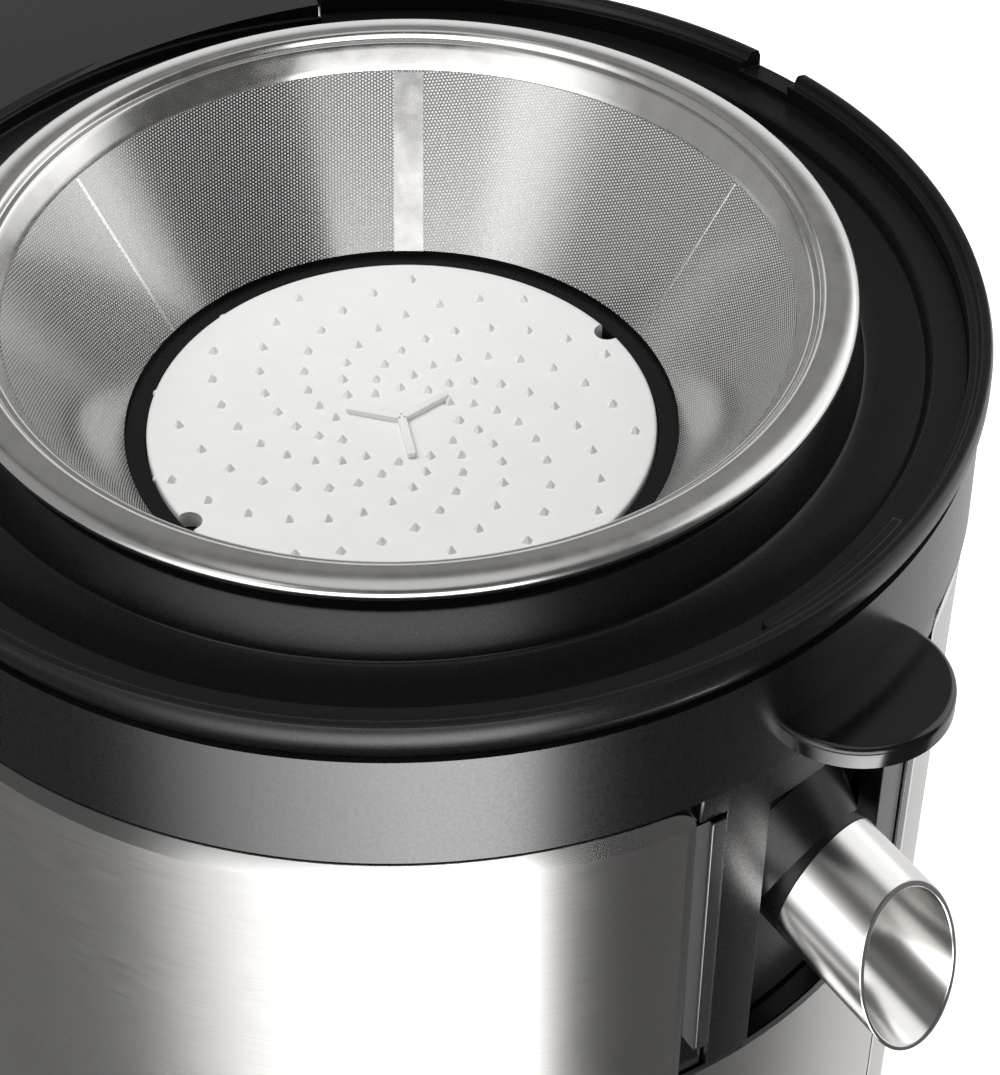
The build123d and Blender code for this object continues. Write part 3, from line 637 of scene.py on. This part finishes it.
column_section = [(96.9, 30), (96.9, 36.1), (skin_radius(42.3), 42.3),
                  (skin_radius(COLUMN_FOOT), COLUMN_FOOT), (91.4, COLUMN_FOOT), (91.4, 30)]
column = finish_mesh(spin_outline(column_section, -COLUMN_HALF, 2 * COLUMN_HALF, 40),
                     "spout_column", "juice_bowl")
shoulder_section = [(96.9, 30), (96.9, 36.1), (skin_radius(42.3) + 0.1, 41), (91.4, 41), (91.4, 30)]
shoulder = finish_mesh(spin_outline(shoulder_section, -17.7, 35.4, 40), "column_shoulder",
                       "juice_bowl")
soften(shoulder, 0.45, 3)
dress(shoulder, "band_black", slot="black_gloss")
window = slab((80, -15.4, 0), (110, 15.4, COLUMN_FOOT + 5 - 44.5),
              Matrix.Translation((0, 0, level(COLUMN_FOOT + 5))))
carve(column, window)
resmooth(column)
soften(column, 0.45, 3)
dress(column, "column_black", slot="black_gloss")

# %% [markdown]
# Beside the column the body has a narrow black groove, and in it a raised
# strip with a dull metal look and rounded ends, which guides the bowl down.

# %% Guide strips
simple("grey_trim", (0.17, 0.17, 0.17), (0.21, 0.21, 0.21), 1.0, (0.32, 0.40), 1400.0,
       depth=0.000006)
STRIP_TOP, STRIP_FOOT = 41.7, 97.6
STRIP_PROUD, STRIP_SUNK = 0.75, 0.4
strip_section = [(skin_radius(STRIP_TOP) + STRIP_PROUD, STRIP_TOP),
                 (skin_radius(STRIP_FOOT) + STRIP_PROUD, STRIP_FOOT),
                 (skin_radius(STRIP_FOOT) - STRIP_SUNK, STRIP_FOOT),
                 (skin_radius(STRIP_TOP) - STRIP_SUNK, STRIP_TOP)]
for side, start in (("front", -16.45), ("rear", 14.95)):
    strip_bm = spin_outline(strip_section, start, 1.5, 4)
    ends = [e for e in strip_bm.edges if len(e.link_faces) == 2
            and e.calc_face_angle(0) > 1.2
            and abs((e.verts[0].co - e.verts[1].co).length - 1.15 * MM) < 0.05 * MM]
    bmesh.ops.bevel(strip_bm, geom=ends, offset=0.5 * MM, segments=3, profile=0.5,
                    affect="EDGES", material=-1)
    strip = finish_mesh(strip_bm, "guide_strip_" + side, "base")
    soften(strip, 0.12, 2)
    dress(strip, "grey_trim", slot="zinc_steel")

# %% [markdown]
# The finger ledge is a half-round lip for lifting the bowl. A thick disc gets
# its top edge rounded with a bevel, and a plane cuts off the part inside the
# band.

# %% Finger ledge
LEDGE_R, LEDGE_X, LEDGE_DROP, LEDGE_DEPTH = 15.6, 98.3, 26.4, 3.8
ledge = bmesh.new()
bmesh.ops.create_cone(ledge, cap_ends=True, segments=128, radius1=LEDGE_R * MM,
                      radius2=LEDGE_R * MM, depth=LEDGE_DEPTH * MM,
                      matrix=Matrix.Translation(at(LEDGE_X, 0, LEDGE_DROP + LEDGE_DEPTH / 2)))
top_edges = [e for e in ledge.edges
             if all(v.co.z > level(LEDGE_DROP + 0.1) for v in e.verts)]
bmesh.ops.bevel(ledge, geom=top_edges, offset=1.2 * MM, segments=5, profile=0.5,
                affect="EDGES", material=-1)
bmesh.ops.bisect_plane(ledge, geom=ledge.verts[:] + ledge.edges[:] + ledge.faces[:],
                       plane_co=(94.5 * MM, 0, 0), plane_no=(-1, 0, 0), clear_outer=True)
bmesh.ops.holes_fill(ledge, edges=[e for e in ledge.edges if e.is_boundary], sides=0)
lift_ledge = finish_mesh(ledge, "finger_lip", "juice_bowl")
dress(lift_ledge, "black_gloss")
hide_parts("finger_ledge")

# %% [markdown]
# ## Spout sleeve
# A thin steel tube slopes down out of the window. It flares a little and is
# cut at a slant, so its mouth is an oval. The tube is spun on its own axis
# with wall thickness, cut by two planes, and the cut ends are bridged.

# %% Steel sleeve
SLOPE = math.radians(22.5)
spout_axis = Vector((math.cos(SLOPE), 0, -math.sin(SLOPE)))
spout_root = Vector((97.0 * MM, 0, level(74.7)))


def along_spout(distance):
    return spout_root + spout_axis * distance * MM


def spout_matrix():
    """Turns the upright axis on to the spout's axis and moves it to the root."""
    turn = Vector((0, 0, 1)).rotation_difference(spout_axis).to_matrix().to_4x4()
    return Matrix.Translation(spout_root) @ turn


def leaning_plane(distance, tilt):
    lean = math.radians(tilt)
    return along_spout(distance), Vector((math.cos(lean), 0, -math.sin(lean)))


def outer_radius(distance):
    return 11.85 + 0.0147 * distance


def inner_radius(distance):
    return 10.15 + 1.9 * (distance + 12) / 56


SLEEVE_BACK, SLEEVE_FRONT = -8, 40
sleeve = bmesh.new()
wall = [(outer_radius(SLEEVE_BACK), SLEEVE_BACK), (outer_radius(SLEEVE_FRONT), SLEEVE_FRONT),
        (inner_radius(SLEEVE_FRONT), SLEEVE_FRONT), (inner_radius(SLEEVE_BACK), SLEEVE_BACK)]
corners = [sleeve.verts.new((radius * MM, 0, height * MM)) for radius, height in wall]
loop = [sleeve.edges.new(pair) for pair in zip(corners, corners[1:] + corners[:1])]
bmesh.ops.spin(sleeve, geom=corners + loop, cent=(0, 0, 0), axis=AXIS, dvec=(0, 0, 0),
               angle=2 * math.pi, steps=160, use_merge=True, use_normal_flip=False,
               use_duplicate=False)
bmesh.ops.transform(sleeve, matrix=spout_matrix(), verts=sleeve.verts)
for distance, tilt, outer in ((-1.66, 9.3, False), (18.46, -17.5, True)):
    point, normal = leaning_plane(distance, tilt)
    bmesh.ops.bisect_plane(sleeve, geom=sleeve.verts[:] + sleeve.edges[:] + sleeve.faces[:],
                           plane_co=point, plane_no=normal if outer else -normal,
                           clear_outer=True)
    bmesh.ops.bridge_loops(sleeve, edges=[e for e in sleeve.edges if e.is_boundary])
bmesh.ops.recalc_face_normals(sleeve, faces=sleeve.faces)
steel_sleeve = finish_mesh(sleeve, "steel_sleeve", "juice_bowl")
soften(steel_sleeve, 0.22, 2)
dress(steel_sleeve, "polished_steel")
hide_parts("spout_sleeve")

# %% [markdown]
# ## Steel panels
# Each side of the body is one brushed sheet with a rounded top corner beside
# the spout and a polished bevel along its edge. The sheet is drawn flat,
# with its corners rounded and its rim inset, then sliced into narrow strips
# and wrapped round the body.

# %% Wrapping a flat panel round the body
PANEL_GAP = 18.0
SKIN_TOP, SKIN_EDGE, SKIN_TOP_R = 36.1, 42.3, 97.0
SKIN_FOOT = RIM_Z / MM - 16.0
CORNER_R, POLISHED_WIDTH, SHEET_DEPTH = 5.5, 1.3, 1.0
TOP_POLISH, TOP_REACH = 4.6, 8    # the polished edge is wider along the top
STRIPS = 120


def panel(name, node, first, last, corner_first, corner_last):
    """A brushed sheet between two angles; flat, its x runs round the body and its z is the drop."""
    bm = bmesh.new()
    flat_scale = SKIN_TOP_R * math.pi / 180
    x_low, x_high = first * flat_scale, last * flat_scale
    corners = [bm.verts.new((x, 0, -z)) for x, z in
               ((x_low, SKIN_TOP), (x_high, SKIN_TOP), (x_high, SKIN_FOOT), (x_low, SKIN_FOOT))]
    bm.faces.new(corners)
    rounded = [v for v, wanted in zip(corners, (corner_first, corner_last)) if wanted]
    bmesh.ops.bevel(bm, geom=rounded, offset=CORNER_R, segments=8, profile=0.5,
                    affect="VERTICES", material=-1)
    ring = bmesh.ops.inset_region(bm, faces=bm.faces[:], thickness=POLISHED_WIDTH, depth=0,
                                  use_even_offset=True, use_boundary=True)
    for face in ring["faces"]:
        face.material_index = 1
    inner_faces = [f for f in bm.faces if f not in ring["faces"]]
    for vert in {v for f in inner_faces for v in f.verts}:
        nearness = 1 - (-vert.co.z - SKIN_TOP) / TOP_REACH
        if nearness > 0:
            vert.co.z -= TOP_POLISH * nearness
    for count in range(1, STRIPS):
        x = x_low + (x_high - x_low) * count / STRIPS
        bmesh.ops.bisect_plane(bm, geom=bm.verts[:] + bm.edges[:] + bm.faces[:],
                               plane_co=(x, 0, 0), plane_no=(1, 0, 0))
    edge_verts = {v for v in bm.verts if any(e.is_boundary for e in v.link_edges)}
    for vert in bm.verts:
        drop = -vert.co.z
        radius = skin_radius(max(drop, SKIN_EDGE))
        if drop < SKIN_EDGE:
            flare = (SKIN_EDGE - drop) / (SKIN_EDGE - SKIN_TOP)
            radius += (SKIN_TOP_R - skin_radius(SKIN_EDGE)) * flare
        if vert in edge_verts and SKIN_EDGE < drop < SKIN_FOOT - 1:
            radius -= 0.35
        vert.co = at(radius, vert.co.x / flat_scale, drop)
    bmesh.ops.recalc_face_normals(bm, faces=bm.faces)
    if bm.faces[0].normal.xy.dot(bm.faces[0].calc_center_median().xy) < 0:
        bmesh.ops.reverse_faces(bm, faces=bm.faces)
    piece = finish_mesh(bm, name, "base", 60)
    wall = piece.modifiers.new("sheet thickness", "SOLIDIFY")
    wall.thickness = SHEET_DEPTH * MM
    wall.offset = -1
    dress(piece, "brushed_skin", "polished_steel")
    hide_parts(node)


panel("front_skin", "front_panel", -(180 - PULP_HALF), -PANEL_GAP, False, True)
panel("rear_skin", "rear_panel", PANEL_GAP, 180 - PULP_HALF, True, False)

# %% [markdown]
# ## Studio
# Shiny parts show the room they stand in, so the room is half of the look.
# The floor is plain and pale. The world is a dark room with a few soft bright
# boxes, each a window in direction (degrees round and degrees up) with soft
# edges. The floor doesn't show in reflections, so the boxes alone draw the
# bright and dark bands on the steel.

# %% Floor
floor_bm = bmesh.new()
bmesh.ops.create_grid(floor_bm, x_segments=1, y_segments=1, size=4.0)
floor = to_object(floor_bm, "floor")
floor_tree, floor_shader = start_material("floor_paint", (0.9, 0.9, 0.9), 0.0, 0.9)
floor_shader.inputs["Emission Color"].default_value = (1, 1, 1, 1)
floor_shader.inputs["Emission Strength"].default_value = 0.75
floor_shader.inputs["Specular IOR Level"].default_value = 0.0
tint(floor_tree, floor_shader, noise(floor_tree, 3.0), (0.88, 0.88, 0.88), (0.9, 0.9, 0.9))
floor.data.materials.append(MATERIALS["floor_paint"])
floor.visible_glossy = False

# %% World made of soft boxes
world = bpy.data.worlds.new("studio")
bpy.context.scene.world = world
world.use_nodes = True
sky = world.node_tree
direction = sky.nodes.new("ShaderNodeTexCoord").outputs["Generated"]
parts = sky.nodes.new("ShaderNodeSeparateXYZ")
sky.links.new(direction, parts.inputs["Vector"])


def sky_math(operation, *values):
    node = sky.nodes.new("ShaderNodeMath")
    node.operation = operation
    for slot, value in enumerate(values):
        if isinstance(value, (int, float)):
            node.inputs[slot].default_value = value
        else:
            sky.links.new(value, node.inputs[slot])
    return node.outputs[0]


def window_of(value, low, high, edge_low, edge_high):
    """1 inside a range of degrees, falling to 0 within it over each edge's width."""
    rise = sky_math("DIVIDE", sky_math("SUBTRACT", value, low), edge_low)
    fall = sky_math("DIVIDE", sky_math("SUBTRACT", high, value), edge_high)
    both = sky_math("MINIMUM", sky_math("MINIMUM", rise, fall), 1.0)
    return sky_math("MAXIMUM", both, 0.0)


up_degrees = sky_math("MULTIPLY", sky_math("ARCSINE", parts.outputs["Z"]), 180 / math.pi)


def round_degrees(centre):
    """Degrees round the room from a centre, so that a box never meets the wrap."""
    cosine, sine = math.cos(math.radians(centre)), math.sin(math.radians(centre))
    ahead = sky_math("ADD", sky_math("MULTIPLY", parts.outputs["X"], cosine),
                     sky_math("MULTIPLY", parts.outputs["Y"], sine))
    aside = sky_math("SUBTRACT", sky_math("MULTIPLY", parts.outputs["Y"], cosine),
                     sky_math("MULTIPLY", parts.outputs["X"], sine))
    return sky_math("MULTIPLY", sky_math("ARCTAN2", aside, ahead), 180 / math.pi)


def soft_box(first, last, low, high, edge_first, edge_last, edge_up, strength):
    centre, half = (first + last) / 2, (last - first) / 2
    across = window_of(round_degrees(centre), -half, half, edge_first, edge_last)
    upright = window_of(up_degrees, low, high, edge_up, edge_up)
    return sky_math("MULTIPLY", sky_math("MULTIPLY", across, upright), strength)


boxes = [
    # from, to, low, high, soft first edge, soft last edge, soft edge up, strength
    (-102, -18, -58, -22, 58, 2.5, 7, 7.5),     # strong sloping light low in front
    (-112, -18, -14, 34, 50, 3, 12, 4.0),       # its weaker upper part
    (-180, -85, -35, -22, 8, 20, 4, 0.8),       # low strip on the left, seen in the polished bevel
    (-175, -70, -20, 60, 8, 8, 6, 0.25),        # dim tall box on the left
    (42, 181, -85, 28, 4, 8, 10, 0.80),         # white wall from the right round to the back
    (34, 104, 10, 64, 6, 14, 10, 1.1),          # its upper part on the right
    (-105, -75, 25, 62, 8, 8, 6, 0.9),          # narrow strip high on the left
    (100, 185, 28, 64, 10, 10, 8, 0.18),        # soft glow over the far side
]
total = 0.07
for box in boxes:
    total = sky_math("ADD", soft_box(*box), total)
zenith = window_of(up_degrees, 66, 110, 8, 8)
total = sky_math("ADD", total, sky_math("MULTIPLY", zenith, 0.6))
backdrop = sky.nodes["Background"]
sky.links.new(total, backdrop.inputs["Strength"])
backdrop.inputs["Color"].default_value = (1, 1, 1, 1)
print("soft boxes:", len(boxes))

# %% Overhead light for the disc
top_light = bpy.data.lights.new("overhead", "AREA")
top_light.size = 0.7
top_light.energy = 8.0
overhead = bpy.data.objects.new("overhead", top_light)
overhead.location = (-0.45, -0.15, 1.2)
overhead.rotation_mode = "QUATERNION"
overhead.rotation_quaternion = (Vector((0, 0, 0.24)) - overhead.location).to_track_quat("-Z", "Y")
overhead.visible_glossy = False
overhead.visible_camera = False
bpy.context.scene.collection.objects.link(overhead)
bpy.context.scene.view_settings.view_transform = "Standard"
